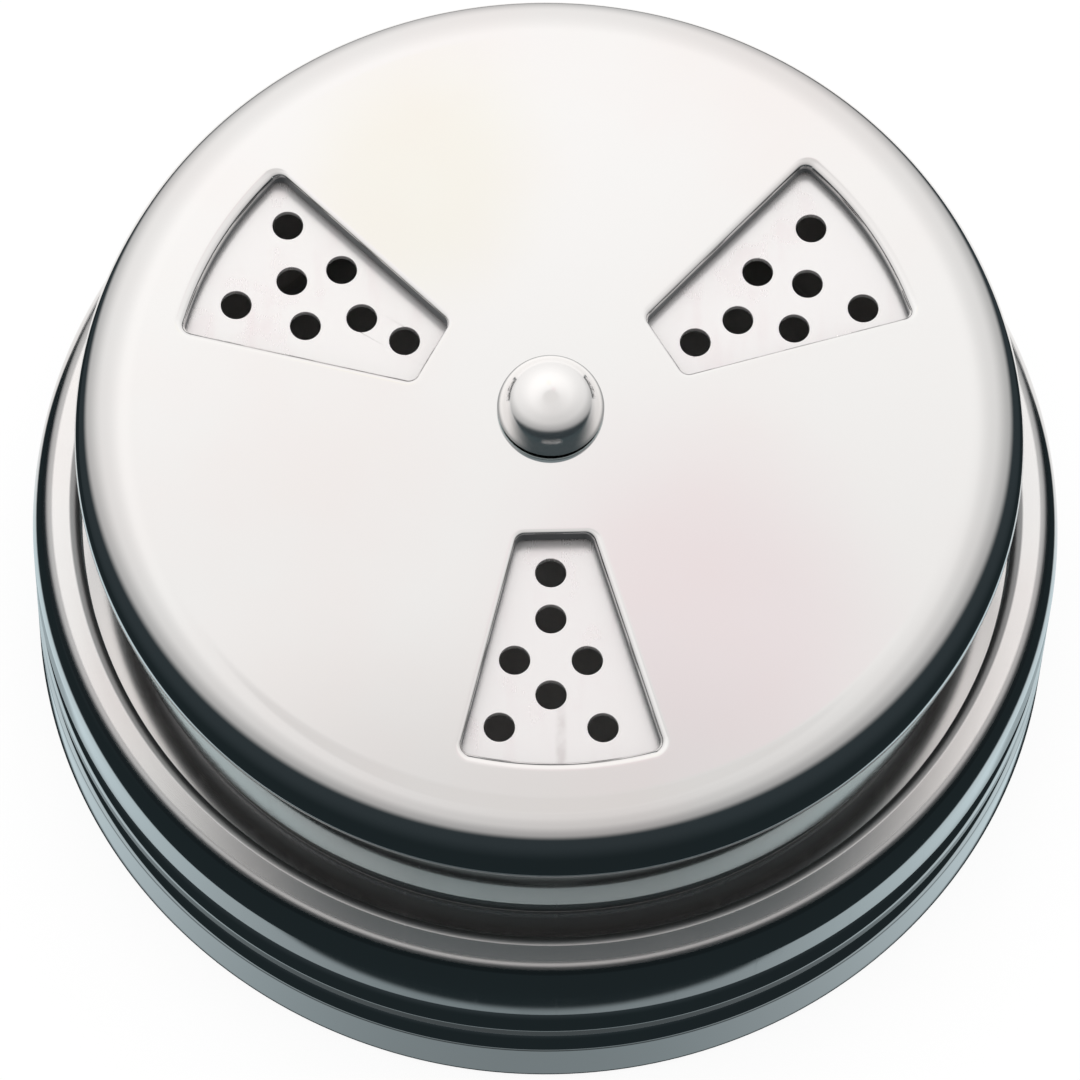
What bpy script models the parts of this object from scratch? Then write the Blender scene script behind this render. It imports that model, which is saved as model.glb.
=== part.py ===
"""Powdered sugar shaker: a turning cap over a sieve, a screw lid and a stepped steel cup.

Metres, +Z up, standing on z = 0 with its axis on Z. The front window points along -Y.
"""
import math

import bmesh
import bpy
from mathutils import Matrix, Vector

MM = 0.001

# Overall sizes: the body's half width, and the height of the cap's flat top
BODY_RADIUS = 38.0 * MM
CAP_TOP = 36.5 * MM
SHEET = 0.5 * MM
GAP = 0.3 * MM

# Cup, from the table up: plain band, bead and shoulder
CUP_BASE_EDGE_RADIUS = 1.0 * MM
CUP_BAND_HEIGHT = 5.6 * MM
CUP_BEAD_RADIUS = 1.7 * MM
CUP_GROOVE_WIDTH = 0.4 * MM
CUP_BEAD_UNDERCUT = 1.2 * MM
CUP_BEAD_FLAT = 0.9 * MM
CUP_SHOULDER_RISE = 3.0 * MM
CUP_SHOULDER_RADIUS = 1.0 * MM
CUP_NECK_FILLET = 0.8 * MM

# Lid, from its edge up: rolled side, raised rim, groove, neck and flange
LID_SEAM = 1.7 * MM
RIM_RISE = 7.0 * MM
RIM_INSET = 0.95 * MM
RIM_WIDTH = 2.05 * MM
RIM_STEP = 0.04 * MM
RIM_INSIDE_BEND = 0.1 * MM
SKIRT_CURVE_RADIUS = 6.0 * MM
GROOVE_DEPTH = 2.0 * MM
GROOVE_CORNER_RADIUS = 0.2 * MM
NECK_EDGE_RADIUS = 2.0 * MM
FLANGE_CLEARANCE = 0.55 * MM

# Turning cap
CAP_INSET = 3.5 * MM
CAP_TAPER = 1.6 * MM
CAP_EDGE_RADIUS = 4.2 * MM
CAP_MOUTH_LIFT = 2.1 * MM
CAP_RUNNING_CLEARANCE = 0.6 * MM
CAP_REST_TURN = 1.5

# Windows in the cap and holes in the sieve, both repeated round the axis. The middle rows are
# placed as parts of the way from the first row to the last.
WINDOW_COUNT = 3
WINDOW_INNER_RADIUS = 9.75 * MM
WINDOW_MARGIN = 2.95 * MM
WINDOW_HALF_ANGLE = 15.4
WINDOW_CORNER_RADIUS = 0.7 * MM
HOLE_RADIUS = 1.11 * MM
HOLE_INNER_MARGIN = 2.45 * MM
HOLE_OUTER_MARGIN = 2.85 * MM
HOLE_SECOND_ROW = 0.29
HOLE_PAIR_ROW = 0.57
HOLE_LONE_ROW = 0.77
HOLE_PAIR_ANGLE = 7.8
HOLE_OUTER_PAIR_ANGLE = 8.7

# Knob and the stack on its stud
KNOB_RADIUS = 3.9 * MM
STUD_RADIUS = 1.6 * MM
STUD_IN_KNOB = 2.4 * MM
STUD_BEYOND_NUT = 0.6 * MM
GLIDE_WASHER_RADIUS = 6.0 * MM
FLAT_WASHER_RADIUS = 5.0 * MM
FLAT_WASHER_THICKNESS = 0.6 * MM
SPRING_RADIUS = 4.6 * MM
SPRING_HEIGHT = 1.0 * MM
SPRING_THICKNESS = 0.4 * MM
NUT_ACROSS_FLATS = 5.5 * MM
NUT_HEIGHT = 2.4 * MM

# Sieve, thread insert and seal inside the lid
SIEVE_CLEARANCE = 1.3 * MM
INSERT_WALL = 1.2 * MM
INSERT_FLANGE_THICKNESS = 0.8 * MM
INSERT_FLANGE_WIDTH = 3.0 * MM
INSERT_CHAMFER = 0.4 * MM
INSERT_FOOT_CLEARANCE = 1.2 * MM
SEAL_THICKNESS = 1.0 * MM
SEAL_WIDTH = 2.6 * MM

# Screw thread: round beads, half a pitch apart in the closed position
THREAD_PITCH = 4.0 * MM
THREAD_TURNS = 1.25
THREAD_RADIUS = 0.9 * MM
THREAD_MALE_HEIGHT = 1.5 * MM
THREAD_FEMALE_HEIGHT = 1.2 * MM
THREAD_FOOT = 0.4 * MM

# Fineness of the round shapes
SEGMENTS = 48
SMALL_SEGMENTS = 24
HOLE_SEGMENTS = 12
THREAD_STEPS = 45
THREAD_SIDES = 8

# Heights on the outside, from the table up
CUP_BEAD_BOTTOM = CUP_BAND_HEIGHT + CUP_BEAD_RADIUS + CUP_GROOVE_WIDTH + CUP_BEAD_UNDERCUT
CUP_BEAD_TOP = CUP_BEAD_BOTTOM + CUP_BEAD_FLAT
CUP_SHOULDER = CUP_BEAD_TOP + CUP_BEAD_RADIUS + CUP_SHOULDER_RISE
LID_EDGE = CUP_BEAD_TOP + CUP_BEAD_RADIUS + LID_SEAM
RIM_TOP = LID_EDGE + RIM_RISE
GROOVE_FLOOR = RIM_TOP - GROOVE_DEPTH
CAP_MOUTH = RIM_TOP + CAP_MOUTH_LIFT

# Heights of the stack, from the cap's top down
CAP_UNDERSIDE = CAP_TOP - SHEET
LID_TOP = CAP_UNDERSIDE - GAP
SIEVE_TOP = LID_TOP - SHEET - GAP
SIEVE_BOTTOM = SIEVE_TOP - SHEET
INSERT_TOP = SIEVE_BOTTOM - GAP
SEAL_TOP = INSERT_TOP - INSERT_FLANGE_THICKNESS - GAP
CUP_RIM = SEAL_TOP - SEAL_THICKNESS - GAP
WASHER_TOP = SIEVE_BOTTOM - GAP
SPRING_TOP = WASHER_TOP - FLAT_WASHER_THICKNESS - GAP
NUT_TOP = SPRING_TOP - SPRING_HEIGHT - GAP
NUT_BOTTOM = NUT_TOP - NUT_HEIGHT
STUD_TOP = CAP_TOP + STUD_IN_KNOB

# Radii, from the outside in
RIM_OUTER_RADIUS = BODY_RADIUS - RIM_INSET
RIM_INNER_RADIUS = RIM_OUTER_RADIUS - RIM_WIDTH
RIM_CORNER_RADIUS = SHEET + RIM_INSIDE_BEND
CAP_RADIUS = BODY_RADIUS - CAP_INSET
CAP_MOUTH_RADIUS = CAP_RADIUS - CAP_TAPER
NECK_RADIUS = CAP_MOUTH_RADIUS - SHEET - CAP_RUNNING_CLEARANCE
SIEVE_RADIUS = NECK_RADIUS - SHEET - SIEVE_CLEARANCE
INSERT_RADIUS = NECK_RADIUS - SHEET - GAP
INSERT_BORE = INSERT_RADIUS - INSERT_WALL
SEAL_OUTER_RADIUS = INSERT_BORE - GAP
CUP_NECK_RADIUS = INSERT_BORE - GAP - THREAD_MALE_HEIGHT
STUD_HOLE_RADIUS = STUD_RADIUS + GAP

# Windows and the holes under them
WINDOW_OUTER_RADIUS = CAP_RADIUS - CAP_EDGE_RADIUS - WINDOW_MARGIN
FLANGE_INNER_RADIUS = WINDOW_OUTER_RADIUS + SHEET + FLANGE_CLEARANCE
HOLE_FIRST_ROW = WINDOW_INNER_RADIUS + HOLE_INNER_MARGIN
HOLE_LAST_ROW = WINDOW_OUTER_RADIUS - HOLE_OUTER_MARGIN

# The thread's place above the cup's shoulder
INSERT_BOTTOM = CUP_SHOULDER + INSERT_FOOT_CLEARANCE
FEMALE_THREAD_START = INSERT_BOTTOM + THREAD_FOOT + THREAD_RADIUS
MALE_THREAD_START = FEMALE_THREAD_START + THREAD_PITCH / 2


def clear_scene():
    for old in list(bpy.data.objects):
        bpy.data.objects.remove(old)


def material(name, color, roughness, metallic):
    made = bpy.data.materials.new(name)
    made.use_nodes = True
    shader = made.node_tree.nodes["Principled BSDF"]
    shader.inputs["Base Color"].default_value = (*color, 1.0)
    shader.inputs["Roughness"].default_value = roughness
    shader.inputs["Metallic"].default_value = metallic
    return made


def arc(center, radius, start, end, steps):
    """Points (radius, height) on an arc, with its angles in degrees from the outward direction."""
    angles = [math.radians(start + (end - start) * i / steps) for i in range(steps + 1)]
    return [(center[0] + radius * math.cos(a), center[1] + radius * math.sin(a)) for a in angles]


def parallel(path, distance):
    """The path moved to its right-hand side by a distance, with mitred corners."""
    points = [Vector(point) for point in path]
    runs = [(b - a).normalized() for a, b in zip(points, points[1:])]
    sides = [Vector((run.y, -run.x)) for run in runs]
    moved = []
    for i, point in enumerate(points):
        first = sides[max(i - 1, 0)]
        second = sides[min(i, len(sides) - 1)]
        mitre = (first + second).normalized()
        moved.append(tuple(point + mitre * (distance / mitre.dot(first))))
    return moved


def sheet_outline(path):
    """The outline of a sheet whose outer side is the path, which runs with the material on its right."""
    return list(path) + parallel(path, SHEET)[::-1]


def add_object(name, bm, finish, parent):
    bmesh.ops.remove_doubles(bm, verts=bm.verts, dist=0.001 * MM)
    bmesh.ops.recalc_face_normals(bm, faces=bm.faces)
    mesh = bpy.data.meshes.new(name)
    bm.to_mesh(mesh)
    bm.free()
    mesh.shade_smooth()
    mesh.set_sharp_from_angle(angle=math.radians(35))
    if finish is not None:
        mesh.materials.append(finish)
    made = bpy.data.objects.new(name, mesh)
    bpy.context.scene.collection.objects.link(made)
    made.parent = parent
    return made


def turned(name, outline, finish, parent, segments=SEGMENTS):
    """A piece turned about Z. An outline that starts and ends on the axis is left open there."""
    bm = bmesh.new()
    verts = [bm.verts.new((r, 0.0, z)) for r, z in outline]
    edges = [bm.edges.new(pair) for pair in zip(verts, verts[1:])]
    if outline[0][0] > 0.0:
        edges.append(bm.edges.new((verts[-1], verts[0])))
    bmesh.ops.spin(
        bm, geom=verts + edges, cent=(0, 0, 0), axis=(0, 0, 1),
        angle=2 * math.pi, steps=segments, use_merge=True,
    )
    return add_object(name, bm, finish, parent)


def ring(name, inner, outer, bottom, top, finish, parent, segments=SEGMENTS):
    outline = [(inner, top), (outer, top), (outer, bottom), (inner, bottom)]
    return turned(name, outline, finish, parent, segments)


def tool_object(name, bm):
    """A mesh that only cuts or adds to other pieces."""
    tool = add_object(name, bm, None, None)
    tool.hide_render = True
    tool.display_type = "WIRE"
    return tool


def combine(piece, tool, operation):
    boolean = piece.modifiers.new(tool.name, "BOOLEAN")
    boolean.operation = operation
    boolean.solver = "EXACT"
    boolean.object = tool


def window_angles(turn):
    return [math.radians(-90.0 + turn + 360.0 * i / WINDOW_COUNT) for i in range(WINDOW_COUNT)]


def add_sector_prism(bm, direction, growth, bottom, top):
    """A window's outline, grown all round by a distance, as an upright prism with rounded corners.

    Its outer edge is an arc about the cap's axis, and its inner edge is straight.
    """
    outline = []
    corners = []
    half_angle = math.radians(WINDOW_HALF_ANGLE)
    inner = WINDOW_INNER_RADIUS - growth
    inner_reach = inner * math.tan(half_angle) + growth / math.cos(half_angle)
    inner_half = math.atan2(inner_reach, inner)
    outer = WINDOW_OUTER_RADIUS + growth
    outer_half = half_angle + math.asin(growth / outer)
    sides = ((outer, outer_half, 8, 1), (math.hypot(inner, inner_reach), inner_half, 1, -1))
    for radius, half, steps, way in sides:
        angles = [direction + way * half * (2.0 * i / steps - 1.0) for i in range(steps + 1)]
        verts = [bm.verts.new((radius * math.cos(a), radius * math.sin(a), bottom)) for a in angles]
        outline += verts
        corners += [verts[0], verts[-1]]
    raised = bmesh.ops.extrude_face_region(bm, geom=[bm.faces.new(outline)], use_keep_orig=True)
    lifted = [item for item in raised["geom"] if isinstance(item, bmesh.types.BMVert)]
    bmesh.ops.translate(bm, verts=lifted, vec=(0, 0, top - bottom))
    uprights = [e for v in corners for e in v.link_edges if e.other_vert(v) in lifted]
    bmesh.ops.bevel(
        bm, geom=uprights, affect="EDGES", offset=WINDOW_CORNER_RADIUS + growth,
        segments=2, profile=0.5, material=-1,
    )


def windows_tool(name, growth, bottom, top):
    bm = bmesh.new()
    for direction in window_angles(CAP_REST_TURN):
        add_sector_prism(bm, direction, growth, bottom, top)
    return tool_object(name, bm)


def rotating_cap(finish, parent):
    """A drawn shell with a rounded edge and a skirt that closes in towards its mouth."""
    center = Vector((CAP_RADIUS - CAP_EDGE_RADIUS, CAP_TOP - CAP_EDGE_RADIUS))
    mouth = Vector((CAP_MOUTH_RADIUS, CAP_MOUTH))
    reach = mouth - center
    tangent = math.degrees(math.atan2(reach.y, reach.x) + math.acos(CAP_EDGE_RADIUS / reach.length))
    path = [(STUD_HOLE_RADIUS, CAP_TOP)]
    path += arc(center, CAP_EDGE_RADIUS, 90, tangent, 7)
    path.append(tuple(mouth))
    cap = turned("rotating_cap", sheet_outline(path), finish, parent)
    lip_bottom = SIEVE_TOP + GAP
    lips = windows_tool("window_lips", SHEET, lip_bottom, CAP_UNDERSIDE + SHEET / 2)
    cuts = windows_tool("window_cuts", 0.0, lip_bottom - SHEET, CAP_TOP + SHEET)
    combine(cap, lips, "UNION")
    combine(cap, cuts, "DIFFERENCE")
    return cap


def knob(finish, parent):
    """A dome on the cap's top, with a blind socket for the stud."""
    base = CAP_TOP + GAP
    start = math.degrees(math.asin(GAP / KNOB_RADIUS))
    socket_top = STUD_TOP + GAP
    outline = [(0.0, socket_top), (STUD_HOLE_RADIUS, socket_top), (STUD_HOLE_RADIUS, base)]
    outline += arc((0.0, CAP_TOP), KNOB_RADIUS, start, 90, 8)[:-1]
    outline.append((0.0, CAP_TOP + KNOB_RADIUS))
    return turned("knob", outline, finish, parent, SMALL_SEGMENTS)


def pivot_stud(finish, parent):
    bottom = NUT_BOTTOM - STUD_BEYOND_NUT
    outline = [(0.0, STUD_TOP), (STUD_RADIUS, STUD_TOP), (STUD_RADIUS, bottom), (0.0, bottom)]
    return turned("pivot_stud", outline, finish, parent, SMALL_SEGMENTS)


def spring_washer(finish, parent):
    """A shallow cone, high at the stud and low at its rim."""
    bottom = SPRING_TOP - SPRING_HEIGHT
    outline = [
        (STUD_HOLE_RADIUS, SPRING_TOP),
        (SPRING_RADIUS, bottom + SPRING_THICKNESS),
        (SPRING_RADIUS, bottom),
        (STUD_HOLE_RADIUS, SPRING_TOP - SPRING_THICKNESS),
    ]
    return turned("spring_washer", outline, finish, parent, SMALL_SEGMENTS)


def lock_nut(finish, parent):
    bm = bmesh.new()
    bmesh.ops.create_cone(
        bm, cap_ends=True, segments=6, depth=NUT_HEIGHT,
        radius1=NUT_ACROSS_FLATS / math.sqrt(3), radius2=NUT_ACROSS_FLATS / math.sqrt(3),
        matrix=Matrix.Translation((0, 0, NUT_TOP - NUT_HEIGHT / 2)),
    )
    nut = add_object("lock_nut", bm, finish, parent)
    bore = bmesh.new()
    bmesh.ops.create_cone(
        bore, cap_ends=True, segments=SMALL_SEGMENTS, depth=2 * NUT_HEIGHT,
        radius1=STUD_HOLE_RADIUS, radius2=STUD_HOLE_RADIUS,
        matrix=Matrix.Translation((0, 0, NUT_TOP - NUT_HEIGHT / 2)),
    )
    combine(nut, tool_object("nut_bore", bore), "DIFFERENCE")
    return nut


def sieve_holes():
    """Places (radius, angle from the window's middle) of the holes under one window."""
    span = HOLE_LAST_ROW - HOLE_FIRST_ROW
    places = [(HOLE_FIRST_ROW, 0.0), (HOLE_FIRST_ROW + HOLE_SECOND_ROW * span, 0.0)]
    places += [(HOLE_FIRST_ROW + HOLE_PAIR_ROW * span, side * HOLE_PAIR_ANGLE) for side in (-1, 1)]
    places.append((HOLE_FIRST_ROW + HOLE_LONE_ROW * span, 0.0))
    places += [(HOLE_LAST_ROW, side * HOLE_OUTER_PAIR_ANGLE) for side in (-1, 1)]
    return places


def sieve_plate(finish, parent):
    plate = ring("sieve_plate", STUD_HOLE_RADIUS, SIEVE_RADIUS, SIEVE_BOTTOM, SIEVE_TOP, finish, parent)
    drills = bmesh.new()
    for direction in window_angles(0.0):
        for radius, offset in sieve_holes():
            angle = direction + math.radians(offset)
            place = (radius * math.cos(angle), radius * math.sin(angle), SIEVE_TOP - SHEET / 2)
            bmesh.ops.create_cone(
                drills, cap_ends=True, segments=HOLE_SEGMENTS, depth=3 * SHEET,
                radius1=HOLE_RADIUS, radius2=HOLE_RADIUS, matrix=Matrix.Translation(place),
            )
    combine(plate, tool_object("sieve_drills", drills), "DIFFERENCE")
    return plate


def lid_shell(finish, parent):
    """One drawn sheet: flange over the sieve, neck, groove, raised rim, rolled side and skirt."""
    neck_center = (NECK_RADIUS - NECK_EDGE_RADIUS, LID_TOP - NECK_EDGE_RADIUS)
    side_center_radius = BODY_RADIUS - SKIRT_CURVE_RADIUS
    side_start = math.degrees(math.acos((RIM_OUTER_RADIUS - side_center_radius) / SKIRT_CURVE_RADIUS))
    corner_drop = RIM_CORNER_RADIUS * (1.0 - math.sin(math.radians(side_start)))
    side_height = SKIRT_CURVE_RADIUS * math.sin(math.radians(side_start))
    corner_radius = RIM_OUTER_RADIUS - RIM_CORNER_RADIUS * math.cos(math.radians(side_start))
    step_angle = math.acos(1.0 - RIM_STEP / (2.0 * RIM_CORNER_RADIUS))
    step_foot = RIM_INNER_RADIUS + 2.0 * RIM_CORNER_RADIUS * math.sin(step_angle)
    step_turn = math.degrees(step_angle)
    rim_flat = RIM_TOP - RIM_STEP
    path = [(FLANGE_INNER_RADIUS, LID_TOP)]
    path += arc(neck_center, NECK_EDGE_RADIUS, 90, 0, 3)
    groove_corner = (NECK_RADIUS + GROOVE_CORNER_RADIUS, GROOVE_FLOOR + GROOVE_CORNER_RADIUS)
    path += arc(groove_corner, GROOVE_CORNER_RADIUS, 180, 270, 2)
    path.append((RIM_INNER_RADIUS - RIM_CORNER_RADIUS, GROOVE_FLOOR))
    rim_bead = (RIM_INNER_RADIUS, RIM_TOP - RIM_CORNER_RADIUS)
    path += arc(rim_bead, RIM_CORNER_RADIUS, 180, 90 - step_turn, 4)
    path += arc((step_foot, rim_flat + RIM_CORNER_RADIUS), RIM_CORNER_RADIUS, 270 - step_turn, 270, 1)[1:]
    path += arc((corner_radius, rim_flat - RIM_CORNER_RADIUS), RIM_CORNER_RADIUS, 90, side_start, 3)
    side_center = (side_center_radius, rim_flat - corner_drop - side_height)
    path += arc(side_center, SKIRT_CURVE_RADIUS, side_start, 0, 4)[1:]
    path.append((BODY_RADIUS, LID_EDGE))
    return turned("lid_shell", sheet_outline(path), finish, parent)


def thread_tool(name, radius, start):
    """A round bead that climbs a helix."""
    bm = bmesh.new()
    made = bmesh.ops.create_circle(
        bm, segments=THREAD_SIDES, radius=THREAD_RADIUS,
        matrix=Matrix.Translation((radius, 0, start)) @ Matrix.Rotation(math.pi / 2, 4, "X"),
    )
    rim = made["verts"] + list(bm.edges)
    bmesh.ops.spin(
        bm, geom=rim, cent=(0, 0, 0), axis=(0, 0, 1), angle=2 * math.pi * THREAD_TURNS,
        steps=THREAD_STEPS, dvec=(0, 0, THREAD_PITCH * THREAD_TURNS / THREAD_STEPS),
    )
    bmesh.ops.holes_fill(bm, edges=bm.edges, sides=0)
    return tool_object(name, bm)


def thread_insert(finish, parent):
    flange_bottom = INSERT_TOP - INSERT_FLANGE_THICKNESS
    flange_inner = INSERT_BORE - INSERT_FLANGE_WIDTH
    outline = [
        (flange_inner, INSERT_TOP),
        (INSERT_RADIUS - INSERT_CHAMFER, INSERT_TOP),
        (INSERT_RADIUS, INSERT_TOP - INSERT_CHAMFER),
        (INSERT_RADIUS, INSERT_BOTTOM),
        (INSERT_BORE, INSERT_BOTTOM),
        (INSERT_BORE, flange_bottom),
        (flange_inner, flange_bottom),
    ]
    insert = turned("thread_insert", outline, finish, parent)
    bead_radius = INSERT_BORE - THREAD_FEMALE_HEIGHT + THREAD_RADIUS
    bead = thread_tool("female_thread", bead_radius, FEMALE_THREAD_START)
    combine(insert, bead, "UNION")
    return insert


def cup(finish):
    """One drawn sheet: base, plain band, bead, shoulder and threaded neck, listed from the rim down."""
    bead_inner = BODY_RADIUS - CUP_BEAD_RADIUS
    shoulder_center = (bead_inner - CUP_SHOULDER_RADIUS, CUP_SHOULDER - CUP_SHOULDER_RADIUS)
    neck_center = (CUP_NECK_RADIUS + CUP_NECK_FILLET, CUP_SHOULDER + CUP_NECK_FILLET)
    path = [(CUP_NECK_RADIUS, CUP_RIM)]
    path += arc(neck_center, CUP_NECK_FILLET, 180, 270, 2)
    path += arc(shoulder_center, CUP_SHOULDER_RADIUS, 90, 0, 2)
    path += arc((bead_inner, CUP_BEAD_TOP), CUP_BEAD_RADIUS, 90, 0, 4)
    path.append((BODY_RADIUS, CUP_BEAD_BOTTOM))
    path.append((bead_inner, CUP_BEAD_BOTTOM - CUP_BEAD_UNDERCUT))
    path += arc((bead_inner, CUP_BAND_HEIGHT), CUP_BEAD_RADIUS, 90, 0, 4)
    path += arc((BODY_RADIUS - CUP_BASE_EDGE_RADIUS, CUP_BASE_EDGE_RADIUS), CUP_BASE_EDGE_RADIUS, 0, -90, 3)
    inner = parallel(path, SHEET)
    outline = [(0.0, SHEET)] + inner[::-1] + path + [(0.0, 0.0)]
    made = turned("cup", outline, finish, None)
    bead_radius = CUP_NECK_RADIUS + THREAD_MALE_HEIGHT - THREAD_RADIUS
    combine(made, thread_tool("male_thread", bead_radius, MALE_THREAD_START), "UNION")
    return made


def joint_empty(name, parent):
    empty = bpy.data.objects.new(name, None)
    bpy.context.scene.collection.objects.link(empty)
    empty.parent = parent
    return empty


def main():
    clear_scene()
    lid_axis = joint_empty("lid_axis", None)
    cap_axis = joint_empty("cap_axis", lid_axis)
    polished = (0.72, 0.71, 0.70)
    cup(material("cup_steel", polished, 0.08, 1.0))
    ring(
        "seal_gasket", SEAL_OUTER_RADIUS - SEAL_WIDTH, SEAL_OUTER_RADIUS, SEAL_TOP - SEAL_THICKNESS,
        SEAL_TOP, material("seal_silicone", (0.75, 0.76, 0.76), 0.6, 0.0), lid_axis,
    )
    lid_shell(material("lid_steel", polished, 0.08, 1.0), lid_axis)
    thread_insert(material("insert_plastic", (0.05, 0.05, 0.055), 0.45, 0.0), lid_axis)
    sieve_plate(material("sieve_steel", polished, 0.18, 1.0), lid_axis)
    rotating_cap(material("cap_steel", polished, 0.08, 1.0), cap_axis)
    knob(material("knob_steel", polished, 0.04, 1.0), cap_axis)
    pivot_stud(material("stud_steel", (0.6, 0.6, 0.6), 0.3, 1.0), cap_axis)
    ring(
        "glide_washer", STUD_HOLE_RADIUS, GLIDE_WASHER_RADIUS, SIEVE_TOP + GAP, CAP_UNDERSIDE - GAP,
        material("glide_nylon", (0.85, 0.84, 0.8), 0.5, 0.0), cap_axis, SMALL_SEGMENTS,
    )
    ring(
        "flat_washer", STUD_HOLE_RADIUS, FLAT_WASHER_RADIUS, WASHER_TOP - FLAT_WASHER_THICKNESS,
        WASHER_TOP, material("washer_steel", (0.62, 0.62, 0.62), 0.3, 1.0), cap_axis, SMALL_SEGMENTS,
    )
    spring_washer(material("spring_steel", (0.5, 0.5, 0.5), 0.35, 1.0), cap_axis)
    lock_nut(material("nut_steel", (0.6, 0.6, 0.6), 0.3, 1.0), cap_axis)


main()
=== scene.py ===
"""The look of a powdered sugar shaker: polished steel pieces, their finishes and a plain studio."""
import math

import bmesh
import bpy
from mathutils import Matrix, Vector


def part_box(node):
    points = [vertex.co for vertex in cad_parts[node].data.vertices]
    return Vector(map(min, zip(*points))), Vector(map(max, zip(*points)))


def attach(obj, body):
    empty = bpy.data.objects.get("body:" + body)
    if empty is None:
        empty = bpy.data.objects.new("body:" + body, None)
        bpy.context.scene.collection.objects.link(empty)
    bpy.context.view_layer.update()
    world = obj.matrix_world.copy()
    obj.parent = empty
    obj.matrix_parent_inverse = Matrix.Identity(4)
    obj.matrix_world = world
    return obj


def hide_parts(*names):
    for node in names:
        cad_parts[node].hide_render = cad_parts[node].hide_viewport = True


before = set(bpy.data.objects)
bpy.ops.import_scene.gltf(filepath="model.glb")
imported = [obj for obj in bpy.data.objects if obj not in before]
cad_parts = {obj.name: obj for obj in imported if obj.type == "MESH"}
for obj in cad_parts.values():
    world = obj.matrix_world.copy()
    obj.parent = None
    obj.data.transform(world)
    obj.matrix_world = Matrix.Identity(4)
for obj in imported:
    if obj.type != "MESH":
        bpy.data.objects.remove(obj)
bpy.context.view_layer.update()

MM = 0.001

# Places read from the frame
LID_LOW, LID_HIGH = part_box("lid_shell")
CAP_LOW, CAP_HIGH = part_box("rotating_cap")
SIEVE_LOW, SIEVE_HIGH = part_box("sieve_plate")
KNOB_LOW, KNOB_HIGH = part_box("knob")
CUP_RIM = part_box("cup")[1].z
INSERT_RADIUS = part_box("thread_insert")[1].x
BODY_RADIUS = LID_HIGH.x
LID_EDGE = LID_LOW.z
LID_TOP = LID_HIGH.z
SHEET = SIEVE_HIGH.z - SIEVE_LOW.z
SIEVE_RADIUS = SIEVE_HIGH.x
SIEVE_TOP = SIEVE_HIGH.z
CAP_MOUTH = CAP_LOW.z
CAP_TOP = CAP_HIGH.z
CAP_UNDERSIDE = CAP_TOP - SHEET
KNOB_BASE = KNOB_LOW.z
KNOB_RADIUS = KNOB_HIGH.z - CAP_TOP

# Cup
CUP_BASE_EDGE = 1.0 * MM
CUP_BAND = 5.6 * MM
CUP_BEAD = 1.7 * MM
CUP_BEAD_UNDERSIDE = 7.7 * MM
CUP_BEAD_LOW = 8.9 * MM
CUP_BEAD_HIGH = 9.8 * MM
CUP_SHOULDER = 14.5 * MM
CUP_SHOULDER_EDGE = 1.0 * MM
CUP_NECK_FILLET = 0.8 * MM
NECK_TO_INSERT = 3.0 * MM
CUP_NECK_RADIUS = INSERT_RADIUS - NECK_TO_INSERT
THREAD_PITCH = 4.0 * MM
THREAD_TURNS = 1.25
THREAD_BEAD = 0.9 * MM
THREAD_STAND = 0.6 * MM
THREAD_START = 19.0 * MM

# Lid
RIM_RISE = 7.0 * MM
RIM_INSET = 0.95 * MM
RIM_WIDTH = 2.05 * MM
RIM_STEP = 0.04 * MM
RIM_CORNER_INSIDE = 0.1 * MM
RIM_CORNER = SHEET + RIM_CORNER_INSIDE
SIDE_CURVE = 6.0 * MM
GROOVE_DEPTH = 2.0 * MM
GROOVE_CORNER = 0.05 * MM
NECK_EDGE = 2.0 * MM
FLANGE_INNER_RADIUS = 28.4 * MM

# Turning cap and its windows
CAP_INSET = 3.5 * MM
CAP_TAPER = 1.6 * MM
CAP_EDGE = 4.2 * MM
CAP_RUNNING_CLEARANCE = 0.6 * MM
CAP_REST_TURN = math.radians(1.5)
STUD_HOLE = 1.9 * MM
WINDOW_COUNT = 3
WINDOW_INNER = 9.75 * MM
WINDOW_OUTER = 27.35 * MM
WINDOW_HALF = math.radians(15.4)
WINDOW_CORNER = 0.7 * MM
LIP_CLEARANCE = 0.3 * MM
LIP_BOTTOM = SIEVE_TOP + LIP_CLEARANCE

# Radius of a window's rolled edge along each of its sides
ROLL_OUTER = 0.8 * MM
ROLL_LEFT = 0.55 * MM
ROLL_RIGHT = 0.3 * MM
ROLL_INNER = 0.3 * MM

# Sieve: each group's holes, as a radius and degrees off the group's middle
HOLE_RADIUS = 1.11 * MM
HOLE_PLACES = (
    (12.2 * MM, 0.0), (15.8 * MM, 0.0), (19.2 * MM, 7.8), (19.2 * MM, -7.8),
    (21.7 * MM, 0.0), (24.5 * MM, 8.7), (24.5 * MM, -8.7),
)

# Fineness: sides of round shapes, steps of their arcs and small roundings
SEGMENTS = 256
HOLE_SIDES = 48
BORE_SIDES = 32
THREAD_SIDES = 20
ARC_STEPS = 16
CAP_EDGE_STEPS = 28
KNOB_STEPS = 40
SIDE_STEPS = 24
RIM_STEP_STEPS = 8
ROUNDING_STEPS = 3
ROUNDED_ANGLE = math.radians(40)
EDGE_ROUNDING = 0.12 * MM
FINE_ROUNDING = 0.06 * MM
SUPPORT = 0.15 * MM
SAME_PLACE = 0.01 * MM
WELD = 0.001 * MM

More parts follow.
